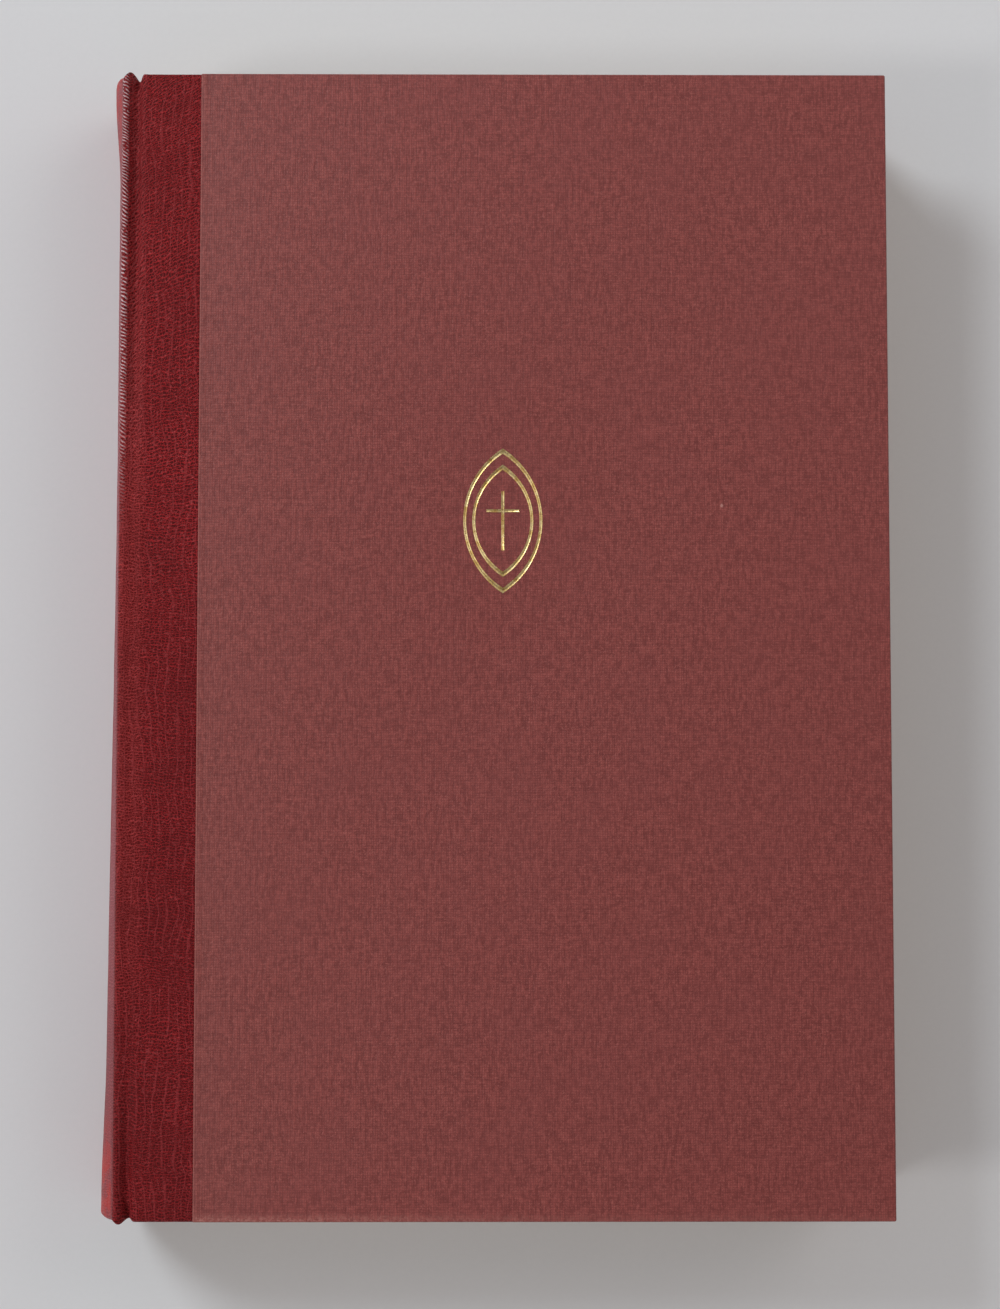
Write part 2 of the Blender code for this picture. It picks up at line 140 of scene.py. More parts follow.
class Graph:
    """One material's nodes, with a short call for each kind of node used here."""

    def __init__(self, name, roughness, **constants):
        self.material = bpy.data.materials.new(name)
        self.material.use_nodes = True
        self.tree = self.material.node_tree
        self.shader = self.tree.nodes["Principled BSDF"]
        self.shader.inputs["Roughness"].default_value = roughness
        for socket, value in constants.items():
            self.shader.inputs[socket.replace("_", " ")].default_value = value

    def put(self, socket, value):
        if isinstance(value, bpy.types.NodeSocket):
            self.tree.links.new(value, socket)
        elif value is not None:
            socket.default_value = value

    def node(self, kind, inputs=(), **settings):
        node = self.tree.nodes.new("ShaderNode" + kind)
        for key, value in settings.items():
            setattr(node, key, value)
        for key, value in dict(inputs).items():
            self.put(node.inputs[key], value)
        return node

    def mapped(self, vector, scale=(1, 1, 1), turn=0.0):
        """vector scaled, and turned about Z by this many degrees."""
        inputs = {"Vector": vector, "Scale": scale, "Rotation": (0, 0, math.radians(turn))}
        return self.node("Mapping", inputs).outputs["Vector"]

    def place_on(self, kind, scale=(1, 1, 1)):
        """Coordinates in metres: "UV" for a piece that bends and "Object" for a rigid one."""
        return self.mapped(self.node("TexCoord").outputs[kind], scale)

    def noise(self, vector, scale, detail=2.0, roughness=0.5):
        inputs = {"Vector": vector, "Scale": scale, "Detail": detail, "Roughness": roughness}
        return self.node("TexNoise", inputs).outputs["Fac"]

    def voronoi(self, vector, scale, feature="F1", randomness=1.0, dimensions="3D"):
        inputs = {"Vector": vector, "Scale": scale, "Randomness": randomness}
        settings = {"feature": feature, "voronoi_dimensions": dimensions}
        return self.node("TexVoronoi", inputs, **settings).outputs["Distance"]

    def wave(self, vector, pitch, direction, distortion=0.0):
        """Bands this many millimetres apart."""
        scale = math.tau / (20 * pitch * MM)  # the node's bands are 2 pi / 20 apart at scale 1
        inputs = {"Vector": vector, "Scale": scale, "Distortion": distortion}
        return self.node("TexWave", inputs, bands_direction=direction).outputs["Fac"]

    def math(self, operation, a, b=None):
        node = self.node("Math", operation=operation)
        self.put(node.inputs[0], a)
        self.put(node.inputs[1], b)
        return node.outputs[0]

    def product(self, value, *factors):
        for factor in factors:
            value = self.math("MULTIPLY", value, factor)
        return value

    def total(self, value, *terms):
        for term in terms:
            value = self.math("ADD", value, term)
        return value

    def ramp(self, value, low, high, to_low=0.0, to_high=1.0):
        """value eased from between low and high to between to_low and to_high."""
        inputs = {"Value": value, "From Min": low, "From Max": high, "To Min": to_low, "To Max": to_high}
        return self.node("MapRange", inputs, interpolation_type="SMOOTHSTEP").outputs["Result"]

    def zone(self, value, start, full, last_full, end):
        """1 from full to last_full, and eased to 0 at start and end."""
        return self.product(self.ramp(value, start, full), self.ramp(value, end, last_full))

    def axis(self, vector, name):
        return self.node("SeparateXYZ", {"Vector": vector}).outputs[name]

    def shift(self, vector, by, amount):
        """vector moved by a noise's three channels, to break up a pattern's straight lines."""
        centred = self.node("VectorMath", {0: by, 1: (0.5, 0.5, 0.5)}, operation="SUBTRACT").outputs[0]
        scaled = self.node("VectorMath", {0: centred, "Scale": amount}, operation="SCALE").outputs[0]
        return self.node("VectorMath", {0: vector, 1: scaled}, operation="ADD").outputs[0]

    def noise_colour(self, vector, scale):
        return self.node("TexNoise", {"Vector": vector, "Scale": scale}).outputs["Color"]

    def mix(self, share, a, b):
        node = self.node("Mix", data_type="RGBA")
        self.put(node.inputs["Factor"], share)
        self.put(node.inputs["A"], a)
        self.put(node.inputs["B"], b)
        return node.outputs["Result"]

    def bump(self, height, distance, strength=1.0):
        """A relief this many millimetres deep."""
        inputs = {"Height": height, "Distance": distance * MM, "Strength": strength}
        return self.node("Bump", inputs).outputs["Normal"]

    def finish(self, colour, normal=None, roughness=None):
        self.put(self.shader.inputs["Base Color"], colour)
        self.put(self.shader.inputs["Normal"], normal)
        self.put(self.shader.inputs["Roughness"], roughness)
        return self.material


def srgb(red, green, blue):
    """A display colour, 0 to 255, as a shader's linear one."""
    shares = (channel / 255 for channel in (red, green, blue))
    return tuple(s / 12.92 if s <= 0.04045 else ((s + 0.055) / 1.055) ** 2.4 for s in shares) + (1.0,)


# Millimetres
GRAIN_ROW_PITCH = 0.60
CREASE_PITCH = 1.9
FOLD_PITCH = 0.70
WRINKLE_PITCH = 0.8
# Zones round the skin, in metres from the middle of the spine: where each starts, is full, is last full
# and ends
FOLDED_SHOULDER = (0.0123, 0.0131, 0.0146, 0.0156)
WRINKLED_JOINT = (0.0158, 0.0168, 0.0192, 0.0205)
# Stretches to ease over: round the skin, or along the book's height from its middle, in metres
NEAR_HEAD = (0.02, 0.06)
SLANTING_ROWS = (0.02, 0.10)
TIGHT_SPINE = (0.0112, 0.0128)
STRETCHED_ACROSS, STRETCHED_ALONG = (0.0215, 0.0185), (0.09, 0.05)
# over which the leather gets a painted shade towards the tail
DARKER_TAIL = (0.05, -0.09)
SPINE_EDGE, SPINE_ROUND = (0.0130, 0.0118), (0.0045, 0.0105)
# over which the painted sheen on the spine's sides lessens towards the tail
LESS_SHEEN_TAIL = (-0.10, -0.03)
RUBBED_SIDE, RUBBED_ENDS = (0.0130, 0.0108), (0.094, 0.112)
GLOSSY_BOARD = (0.0128, 0.0150)


def leather_relief(g, uv, across, along):
    """The skin's pits, painted glint specks, creases, folds and wrinkles (the last two also mark painted
    highlights): sockets, each 1 where it is strongest.
    """
    flowing = g.shift(uv, g.noise_colour(uv, 40), 0.006)
    wavering = g.shift(flowing, g.noise_colour(flowing, 420), 0.0007)
    slope = g.product(across, g.ramp(along, *SLANTING_ROWS, 0.0, -0.5))
    rise = g.node("CombineXYZ", {"Y": slope}).outputs[0]
    tilted = g.node("VectorMath", {0: wavering, 1: rise}, operation="ADD").outputs[0]
    rows = g.ramp(g.wave(tilted, GRAIN_ROW_PITCH, "Y", 8.0), 0.66, 1.0, 0.0, 0.60)
    web = g.voronoi(tilted, 1450, "DISTANCE_TO_EDGE", 0.9, "2D")
    pits = g.math("SUBTRACT", 1.0, g.math("MAXIMUM", rows, g.ramp(web, 0.11, 0.01)))
    # fine specks for a painted highlight: glints of gloss on the grain
    glint_specks = g.ramp(g.noise(tilted, 2000, 2, 0.5), 0.54, 0.66)

    winding = g.shift(flowing, g.noise_colour(uv, 170), 0.0018)
    lines = g.ramp(g.wave(g.mapped(winding, (1, 0.22, 1)), CREASE_PITCH, "X", 6.0), 0.84, 1.0)
    creases = g.product(lines, g.ramp(g.noise(uv, 110, 2, 0.5), 0.38, 0.56, 0.2, 1.0))

    at_head = g.ramp(along, *NEAR_HEAD)
    in_folds = g.product(g.zone(across, *FOLDED_SHOULDER), g.ramp(g.noise(flowing, 800), 0.32, 0.50), at_head)
    # the folds also place a painted highlight: near-white glints where their crests would catch the light
    folds_and_glints = g.product(g.ramp(g.wave(g.mapped(flowing, turn=24), FOLD_PITCH, "Y", 4.0), 0.5, 0.9), in_folds)
    in_wrinkles = g.product(g.zone(across, *WRINKLED_JOINT), at_head)
    wrinkles_and_highlights = g.ramp(g.wave(g.mapped(flowing, turn=40), WRINKLE_PITCH, "X", 9.0), 0.5, 0.9)
    return pits, glint_specks, creases, folds_and_glints, g.product(wrinkles_and_highlights, in_wrinkles)


def leather_wear(g, colour, pits, uv, across, along):
    """colour with a painted sheen on the spine's sides and its ends rubbed."""
    # painted sheen: the spine's sides, seen edge-on, lighter and mauve as if reflecting the bright
    # surroundings
    sheen_colour = g.mix(pits, srgb(186, 94, 100), srgb(138, 54, 62))
    on_edge = g.product(g.ramp(across, *SPINE_EDGE), g.ramp(across, *SPINE_ROUND, 0.25, 1.0))
    colour = g.mix(g.product(on_edge, g.ramp(along, *LESS_SHEEN_TAIL, 0.55, 1.0)), colour, sheen_colour)
    at_ends = g.ramp(g.math("ABSOLUTE", along), *RUBBED_ENDS)
    blotches = g.ramp(g.noise(uv, 160, 4, 0.7), 0.4, 0.56)
    rubbed = g.product(at_ends, g.ramp(across, *RUBBED_SIDE), blotches)
    return g.mix(g.product(rubbed, 0.8), colour, srgb(190, 42, 34))


def leather_material():
    """Goatskin: dark pits between thin lighter ridges in wavering rows, stretched over the joint.

    The UV map's X is the distance round the skin from the middle of the spine and its Y the place along the
    book's height, in metres.
    """
    g = Graph("goatskin", 0.45, Specular_IOR_Level=0.2)
    uv = g.place_on("UV")
    across = g.math("ABSOLUTE", g.axis(uv, "X"))
    along = g.axis(uv, "Y")
    pits, glint_specks, creases, folds_and_glints, wrinkles_and_highlights = leather_relief(g, uv, across, along)

    height = g.math("SUBTRACT", g.product(g.noise(uv, 5200, 3, 0.6), 0.25), pits)
    height = g.total(height, g.product(creases, 0.7))
    height = g.product(height, g.ramp(across, *TIGHT_SPINE, 0.45, 1.0))
    normal = g.bump(g.total(height, g.total(folds_and_glints, wrinkles_and_highlights)), 0.16, 1.0)

    colour = g.mix(pits, srgb(202, 48, 53), srgb(84, 0, 4))
    stretched = g.mix(pits, srgb(214, 78, 78), srgb(108, 0, 3))
    in_middle = g.ramp(g.math("ABSOLUTE", along), *STRETCHED_ALONG)
    in_middle = g.product(g.ramp(across, *STRETCHED_ACROSS), in_middle)
    colour = g.mix(g.product(in_middle, 0.7), colour, stretched)
    # painted highlight: light specks where gloss would catch the grain
    colour = g.mix(g.product(glint_specks, 0.34), colour, srgb(212, 88, 91))
    # painted shade: the leather darker towards the tail, away from the key light
    colour = g.mix(g.ramp(along, *DARKER_TAIL, 0.0, 0.22), colour, srgb(88, 0, 4))
    colour = g.mix(g.ramp(g.noise(uv, 45, 3, 0.6), 0.4, 0.7, 0.0, 0.25), colour, srgb(84, 8, 13))
    colour = g.mix(g.product(creases, 0.38), colour, srgb(180, 62, 66))
    # painted highlight: near-white glints on the crests of the shoulder's folds
    colour = g.mix(g.product(folds_and_glints, 0.95), colour, srgb(240, 204, 208))
    # painted highlight: lighter lines on the joint's wrinkles, where they would catch the light
    colour = g.mix(g.product(wrinkles_and_highlights, 0.4), colour, srgb(196, 84, 86))
    colour = leather_wear(g, colour, pits, uv, across, along)
    gloss = g.ramp(across, *GLOSSY_BOARD, 0.30, 0.44)
    return g.finish(colour, normal, g.total(gloss, g.product(pits, 0.16)))


CLOTH_PITCH = 0.5  # millimetres
LAP_RISE = (0.0015, 0.0009)  # metres from the cloth's edge: it rises where it laps over the leather
LAP_HIGHLIGHT = (0.00035, 0.0)
TAIL_RUBBED = ((2.2 - HALF_HEIGHT) * MM, (0.2 - HALF_HEIGHT) * MM)
RUBBED_TOWARDS_SPINE = (0.03, -0.06)


def cloth_material():
    """Natural book cloth: a fine plain weave with slubs, mottling, pale neps, a rubbed tail edge and a
    painted highlight along its edge over the leather.
    """
    g = Graph("book_cloth_side", 0.6, Sheen_Weight=0.06, Sheen_Roughness=0.5, Specular_IOR_Level=0.5)
    rest = g.place_on("Object")
    loose = g.shift(rest, g.noise_colour(rest, 900), 0.0003)
    weave = g.product(g.wave(loose, CLOTH_PITCH, "X"), g.wave(loose, CLOTH_PITCH, "Y"))
    warp_slubs = g.noise(g.place_on("Object", (1, 0.22, 1)), 1400, 2, 0.6)
    weft_slubs = g.noise(g.place_on("Object", (0.3, 1, 1)), 1400, 2, 0.6)
    threads = g.total(g.product(warp_slubs, 1.2), g.product(weft_slubs, 0.8))
    fuzz = g.noise(rest, 1500, 3, 0.7)
    from_lap = g.math("SUBTRACT", g.axis(rest, "X"), (JOINT_X + LAP_U) * MM)

    height = g.total(g.product(weave, 0.4), g.total(threads, g.product(fuzz, 1.1)))
    height = g.total(height, g.product(g.ramp(from_lap, *LAP_RISE), 0.5))
    normal = g.bump(height, 0.10, 0.85)

    colour = g.mix(g.ramp(threads, 0.75, 1.25), srgb(128, 52, 48), srgb(163, 78, 72))
    colour = g.mix(g.ramp(fuzz, 0.42, 0.6, 0.0, 0.38), colour, srgb(112, 43, 40))
    colour = g.mix(g.ramp(weave, 0.0, 0.4, 0.4, 0.0), colour, srgb(98, 36, 33))
    specks = g.noise(rest, 2300, 2, 0.5)
    colour = g.mix(g.ramp(specks, 0.56, 0.68, 0.0, 0.4), colour, srgb(178, 99, 91))
    clouds = g.noise(rest, 60, 4, 0.62)
    colour = g.mix(g.ramp(clouds, 0.35, 0.7, 0.0, 0.25), colour, srgb(134, 61, 59))
    neps = g.voronoi(g.shift(rest, g.noise_colour(rest, 1200), 0.0006), 34)
    colour = g.mix(g.ramp(neps, 0.016, 0.008, 0.0, 0.6), colour, srgb(205, 150, 140))
    rubbing = g.ramp(g.axis(rest, "X"), *RUBBED_TOWARDS_SPINE, 0.25, 1.0)
    wear_and_lap_highlight = g.product(g.ramp(g.axis(rest, "Y"), *TAIL_RUBBED), rubbing, g.ramp(fuzz, 0.45, 0.6, 0.15, 0.7))
    # painted highlight: a thin lighter line along the cloth's edge where it laps over the leather
    wear_and_lap_highlight = g.math("MAXIMUM", wear_and_lap_highlight, g.product(g.ramp(from_lap, *LAP_HIGHLIGHT), 0.35))
    return g.finish(g.mix(wear_and_lap_highlight, colour, srgb(190, 122, 112)), normal)


def gold_material():
    """Bright foil, a little rubbed."""
    g = Graph("gilt_foil", 0.32, Metallic=1.0)
    rest = g.place_on("Object")
    grain = g.noise(rest, 2600, 3, 0.6)
    rubbed = g.ramp(g.noise(rest, 700, 3, 0.7), 0.35, 0.65)
    colour = g.mix(rubbed, srgb(212, 174, 104), srgb(250, 226, 166))
    return g.finish(colour, g.bump(grain, 0.03, 0.7), g.ramp(grain, 0.3, 0.7, 0.26, 0.42))


def paper_material(name, colour, speck):
    """Matt paper with fibres and clouds in a second colour."""
    g = Graph(name, 0.82, Specular_IOR_Level=0.3)
    uv = g.place_on("UV")
    fibres = g.noise(uv, 2400, 4, 0.7)
    clouds = g.noise(uv, 45, 3, 0.6)
    tone = g.mix(g.ramp(clouds, 0.3, 0.7), colour, speck)
    tone = g.mix(g.ramp(fibres, 0.55, 0.75, 0.0, 0.35), tone, speck)
    return g.finish(tone, g.bump(fibres, 0.03, 0.5))


def page_edge_material():
    """The cut edges of many leaves: fine lines along them, a little uneven in tone."""
    g = Graph("leaf_edges", 0.85, Specular_IOR_Level=0.25)
    lines = g.noise(g.place_on("UV", (0.012, 1, 1)), 9000, 2, 0.7)
    stains = g.noise(g.place_on("UV", (0.3, 1, 1)), 260, 3, 0.6)
    tone = g.mix(g.ramp(lines, 0.38, 0.6), srgb(188, 173, 145), srgb(242, 234, 214))
    tone = g.mix(g.ramp(stains, 0.5, 0.75, 0.0, 0.4), tone, srgb(200, 178, 140))
    return g.finish(tone, g.bump(lines, 0.09, 0.9))


def woven_material(name, thread, gap, pitch):
    """An open or close plain weave of pale thread, with threads this many millimetres apart."""
    g = Graph(name, 0.9, Specular_IOR_Level=0.2)
    rest = g.place_on("Object")
    weave = g.math("MAXIMUM", g.wave(rest, pitch, "Y"), g.wave(rest, pitch, "Z"))
    fuzz = g.noise(rest, 3000, 3, 0.6)
    return g.finish(g.mix(weave, gap, thread), g.bump(g.total(weave, fuzz), 0.12, 0.8))


def fibre_material(name, light, dark, scale):
    """Board, card or kraft paper: matt, with short fibres and cloudy tone."""
    g = Graph(name, 0.9, Specular_IOR_Level=0.2)
    rest = g.place_on("Object", (1, 0.4, 1))
    fibres = g.noise(rest, scale, 4, 0.7)
    return g.finish(g.mix(g.ramp(fibres, 0.35, 0.65), dark, light), g.bump(fibres, 0.08, 0.7))


SILK_STRIPE_PITCH = 2.6  # millimetres


def silk_material():
    """Headband silk, worked over a core in two alternating colours."""
    g = Graph("headband_thread", 0.42, Sheen_Weight=0.2)
    stripes = g.wave(g.place_on("UV"), SILK_STRIPE_PITCH, "X")
    twist = g.noise(g.place_on("UV", (1, 0.3, 1)), 9000, 2, 0.6)
    colour = g.mix(g.ramp(stripes, 0.46, 0.54), srgb(132, 34, 40), srgb(226, 208, 170))
    return g.finish(colour, g.bump(twist, 0.05, 0.8))


def floor_material():
    g = Graph("pale_surface", 0.7, Specular_IOR_Level=0.2)
    rest = g.place_on("Object")
    grain = g.noise(rest, 900, 4, 0.6)
    return g.finish(g.mix(grain, srgb(228, 229, 231), srgb(232, 233, 235)), g.bump(grain, 0.03, 0.3))


# ---------------------------------------------------------------- leather

SHOULDER = (-4.15, 12.0)  # (u, w) where the round back meets the shoulder
LEATHER_TOP = HALF_THICKNESS - 0.25  # the cloth stands this much proud of the leather on the boards
CAP_ROLL = 1.8  # thickness of the headcap, where the leather turns in
TURN_IN_DEPTH = COVER_DEPTH - 0.25
SPINE_HEAD_END, SPINE_TAIL_END = 120.3, 120.0

# One row for each line of the skin's section, from the shoulder onto the board:
# u, w where it is set into the joint, w along the middle, end at the head, end at the tail,
# depth of the turn-in, direction of the inside in degrees, how far it sinks at its very ends
SHOULDER_ROWS = (
    (-4.15, 12.20, 12.20, 119.6, 119.9, CAP_ROLL, -38, 0.0),
    (-4.05, 12.90, 12.80, 119.5, 119.9, CAP_ROLL, -45, 0.0),
    (-3.80, 13.65, 13.40, 119.6, 120.0, CAP_ROLL, -55, 0.0),
    (-3.35, 14.10, 13.78, 119.9, 120.3, CAP_ROLL, -64, 0.0),
    (-2.80, 14.00, 13.85, 120.5, 120.6, CAP_ROLL, -72, 0.1),
    (-2.20, 13.45, 13.82, 120.6, 120.4, CAP_ROLL, -80, 0.4),
    (-1.55, 12.75, 13.74, 120.1, 119.9, 1.9, -86, 0.9),
    (-0.95, 12.40, 13.65, 119.2, 119.5, 1.9, -90, 1.1),
    (-0.40, 12.65, 13.64, 118.7, 119.5, 2.0, -90, 0.8),
    (0.05, 13.40, 13.68, 119.9, 119.9, 2.5, -90, 0.2),
    (0.55, 13.74, 13.74, 120.1, 120.0, TURN_IN_DEPTH, -90, 0.0),
    (1.20, 13.72, 13.72, 120.0, 120.0, TURN_IN_DEPTH, -90, 0.0),
    (2.20, LEATHER_TOP, LEATHER_TOP, 120.0, 120.0, TURN_IN_DEPTH, -90, 0.0),
    (4.50, LEATHER_TOP, LEATHER_TOP, 120.0, 120.0, TURN_IN_DEPTH, -90, 0.0),
    (8.00, LEATHER_TOP, LEATHER_TOP, 120.0, 120.0, TURN_IN_DEPTH, -90, 0.0),
    (11.0, LEATHER_TOP, LEATHER_TOP, 120.0, 120.0, TURN_IN_DEPTH, -90, 0.0),
    (13.8, LEATHER_TOP, LEATHER_TOP, 120.0, 120.0, TURN_IN_DEPTH, -90, 0.0),
)
BACK_SHARES = (0.0, 0.3, 0.58, 0.82)  # heights of the lines on the round back, as shares of the shoulder's
ROW_STEPS = 5
FACE_STEPS = 170
EDGE_STEPS = 8
TURN_IN_REACHES = (2.0, 6.0, 11.0)
CORNER_RADIUS = 0.7  # where the skin turns in at the head and tail
UNEVENNESS = 0.05
SINKING_ENDS = (115.5, 118.5)  # distances from the middle of the height, over which the ends sink
LEAST_BULGE = 5.85
# More of a bulge towards one end: how much more, the end (1 is the head), and where it starts and is full
SWELLS = ((1.35, -1, -50, 105), (1.3, 1, 97, 118), (0.85, -1, 85, 118))
SET_AT_HEAD, SET_AT_TAIL = (15, 85), (84, 114)  # distances from the middle over which the joint deepens
STIFFENER_DEPTH, STIFFENER_THICKNESS = 0.6, 0.35
STIFFENER_STEPS = (24, 48)  # round the back and along it


def bulge(y):
    """How far the spine stands behind the boards' edge: most at the tail, and more at the headcap."""
    return LEAST_BULGE + sum(more * smoothstep(end * y, start, full) for more, end, start, full in SWELLS)


def leather_rows():
    """Rows from the middle of the spine: each row's share of the bulge, then what SHOULDER_ROWS gives."""
    shoulder_u, shoulder_w = SHOULDER
    back = []
    for share in BACK_SHARES:
        w = shoulder_w * share
        inside = SHOULDER_ROWS[0][6] * share
        ends = (SPINE_HEAD_END, SPINE_TAIL_END)
        back.append((1 - share**2, shoulder_u, w, w, *ends, CAP_ROLL, inside, 0.0))
    before = list(back[1])
    before[2], before[3], before[7] = -before[2], -before[3], -before[7]
    return spline_rows(before, back + [(0.0, *row) for row in SHOULDER_ROWS], ROW_STEPS)


def joint_set(y):
    """How deeply the leather is set into the joint, 0 to 1: fully near the head and tail."""
    return max(smoothstep(y, *SET_AT_HEAD), smoothstep(-y, *SET_AT_TAIL))


def skin_column(row):
    """(y, u, w) along one line of the skin, from its turn-in at the tail to its turn-in at the head."""
    bulge_share, u, w_set, w_soft, head_end, tail_end, depth, inside, sinking = row
    radius = min(CORNER_RADIUS, depth / 2)
    lean = math.radians(inside)
    points = []

    def add(y, below):
        out = bulge_share * (bulge(y) + SHOULDER[0])
        w = mix(w_soft, w_set, joint_set(y)) - sinking * smoothstep(abs(y), *SINKING_ENDS)
        below += UNEVENNESS * noise.noise(Vector((u * 0.5, y * 0.11, w * 0.3)))
        points.append((y, u - out + below * math.cos(lean), w + below * math.sin(lean)))

    def turn(end, sign, angles):
        for angle in angles:
            shift = 0.0 if angle <= math.pi / 2 else depth - 2 * radius
            below = radius * (1 - math.cos(angle)) + shift
            add(sign * (end - radius + radius * math.sin(angle)), below)

    half_turn = [math.pi * i / EDGE_STEPS for i in range(EDGE_STEPS + 1)]
    for reach in reversed(TURN_IN_REACHES):
        add(-(tail_end - radius - reach), depth)
    turn(tail_end, -1, half_turn[::-1])
    for i in range(1, FACE_STEPS):
        add(mix(radius - tail_end, head_end - radius, i / FACE_STEPS), 0.0)
    turn(head_end, 1, half_turn)
    for reach in TURN_IN_REACHES:
        add(head_end - radius - reach, depth)
    return points


def make_leather(name, side, nodes, material):
    """Half of the skin: from the middle of the spine over one shoulder and onto one board."""
    points, uvs, across = [], [], 0.0
    rows = leather_rows()
    widest = bulge(0) + SHOULDER[0]
    flat = [(row[1] - row[0] * widest, row[2]) for row in rows]
    highest = HALF_THICKNESS if side < 0 else math.inf  # the lower ridge is pressed flat by the book's weight
    for index, row in enumerate(rows):
        if index:
            across += math.dist(flat[index], flat[index - 1])
        column = skin_column(row)
        along = np.cumsum([0.0] + [math.dist(a, b) for a, b in zip(column, column[1:])])
        along -= along[len(column) // 2] - column[len(column) // 2][0]
        line = [place(u, y, side * min(w, highest)) for y, u, w in column]
        line_uvs = [(side * across * MM, y * MM) for y in along]
        points.append(line[::side])
        uvs.append(line_uvs[::side])
    skin = grid_object(name, points, uvs)
    skin.data.materials.append(material)
    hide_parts(*nodes)
    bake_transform(skin)
    return skin


def make_stiffener(material):
    """The card under the leather of the back, which follows its bulge."""
    node = "spine_stiffener"
    low, high = (Vector(corner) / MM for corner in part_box(node))
    reach, end = high.z - HALF_THICKNESS, high.y
    steps_round, steps_along = STIFFENER_STEPS
    points, uvs = [], []
    for i in range(steps_round + 1):
        w = reach * (2 * i / steps_round - 1)
        share = 1 - (w / SHOULDER[1]) ** 2
        column = []
        for j in range(steps_along + 1):
            y = end * (2 * j / steps_along - 1)
            column.append((STIFFENER_DEPTH + SHOULDER[0] - share * (bulge(y) + SHOULDER[0]), y, w))
        points.append([place(*point) for point in column])
        uvs.append([(w * MM, y * MM) for u, y, w in column])
    card = grid_object(node + "_card", points, uvs)
    card.data.materials.append(material)
    wall = card.modifiers.new("wall", "SOLIDIFY")
    wall.thickness = STIFFENER_THICKNESS * MM
    wall.offset = 1.0
    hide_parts(node)
    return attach(card, "text_block")


# ---------------------------------------------------------------- covers

EDGE_ROUND = 0.42
LAP_ROUND = 0.12
TURN_IN_WIDTH = 15.0
CLOTH_WALL = 0.35
TURN_IN_THICKNESS = 0.30


def block(name, u_range, y_range, w_range):
    """A plain block, for cutting or rounding."""
    low = Vector(place(u_range[0], y_range[0], w_range[0]))
    high = Vector(place(u_range[1], y_range[1], w_range[1]))
    mesh = bpy.data.meshes.new(name)
    bm = bmesh.new()
    bmesh.ops.create_cube(bm, size=1.0)
    bmesh.ops.scale(bm, vec=high - low, verts=bm.verts)
    bmesh.ops.translate(bm, vec=(low + high) / 2, verts=bm.verts)
    bm.to_mesh(mesh)
    bm.free()
    return link(bpy.data.objects.new(name, mesh))


def round_edges(obj, chosen, radius, segments):
    """Rounds the edges whose ends are chosen."""
    bm = bmesh.new()
    bm.from_mesh(obj.data)
    edges = [edge for edge in bm.edges if chosen([vert.co for vert in edge.verts])]
    rounding = {"offset": radius * MM, "segments": segments, "profile": 0.5, "affect": "EDGES"}
    bmesh.ops.bevel(bm, geom=edges, clamp_overlap=True, **rounding)
    bm.to_mesh(obj.data)
    bm.free()


def cut(obj, cutters):
    """Takes the cutters out of obj for good, and removes them."""
    for cutter in cutters:
        modifier = obj.modifiers.new("cut", "BOOLEAN")
        modifier.object = cutter
        modifier.solver = "EXACT"
    graph = bpy.context.evaluated_depsgraph_get()
    mesh = bpy.data.meshes.new_from_object(obj.evaluated_get(graph))
    obj.modifiers.clear()
    obj.data = mesh
    for cutter in cutters:
        bpy.data.objects.remove(cutter, do_unlink=True)


def make_cloth(name, side, body, node, material, grooves=()):
    """The cloth on one board: a thin skin with rounded edges, lapping the leather and turned in all round."""
    outer, inner = side * HALF_THICKNESS, side * (HALF_THICKNESS - COVER_DEPTH)
    cloth = block(name, (LAP_U, BOARD_WIDTH), (-HALF_HEIGHT, HALF_HEIGHT), sorted((outer, inner)))
    lap_x = (JOINT_X + LAP_U + 0.01) * MM
    round_edges(cloth, lambda ends: max(end.x for end in ends) > lap_x, EDGE_ROUND, 5)
    outer_z = (HALF_THICKNESS + outer) * MM

    def on_lap(ends):
        return all(end.x < lap_x and abs(end.z - outer_z) < EDGE_ROUND * MM * 1.01 for end in ends)

    round_edges(cloth, on_lap, LAP_ROUND, 3)
    wall = HALF_HEIGHT - CLOTH_WALL
    room_w = sorted((outer - side * CLOTH_WALL, inner + side * TURN_IN_THICKNESS))
    room = block(name + "_room", (LAP_U - 1, BOARD_WIDTH - CLOTH_WALL), (-wall, wall), room_w)
    window_y = HALF_HEIGHT - TURN_IN_WIDTH
    window_w = sorted((inner - side, inner + side * (TURN_IN_THICKNESS + 0.3)))
    window_u = (LAP_U - 1, BOARD_WIDTH - TURN_IN_WIDTH)
    window = block(name + "_window", window_u, (-window_y, window_y), window_w)
    cut(cloth, [room, window, *grooves])
    shade(cloth.data, 40)
    cloth.data.materials.append(material)
    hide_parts(node)
    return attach(cloth, body)


# ---------------------------------------------------------------- gilt ornament

GILT_LINE = 0.65
GILT_RIM = 0.002  # height of the foil's edges above the cloth
GILT_PROFILE = (  # (share of the line's width, height above the cloth): a groove between two thin lips
    (0.0, GILT_RIM), (0.06, 0.014), (0.13, -0.005), (0.46, -0.115),
    (0.54, -0.115), (0.87, -0.005), (0.94, 0.014), (1.0, GILT_RIM),
)
GROOVE_DEPTH = 0.16  # cut into the cloth for the foil
GROOVE_MARGIN = 0.03  # by which the cut is narrower than the foil
ORNAMENT_RING_GAP = 1.9
POINT_SLANT = (1.0, 1.8)
CROSS_SIZE = (7.0, 12.6)
CROSS_BAR_DROP = 4.2
STROKE_END = 0.1  # over which an open stroke's groove runs out
OVAL_STEPS = 48


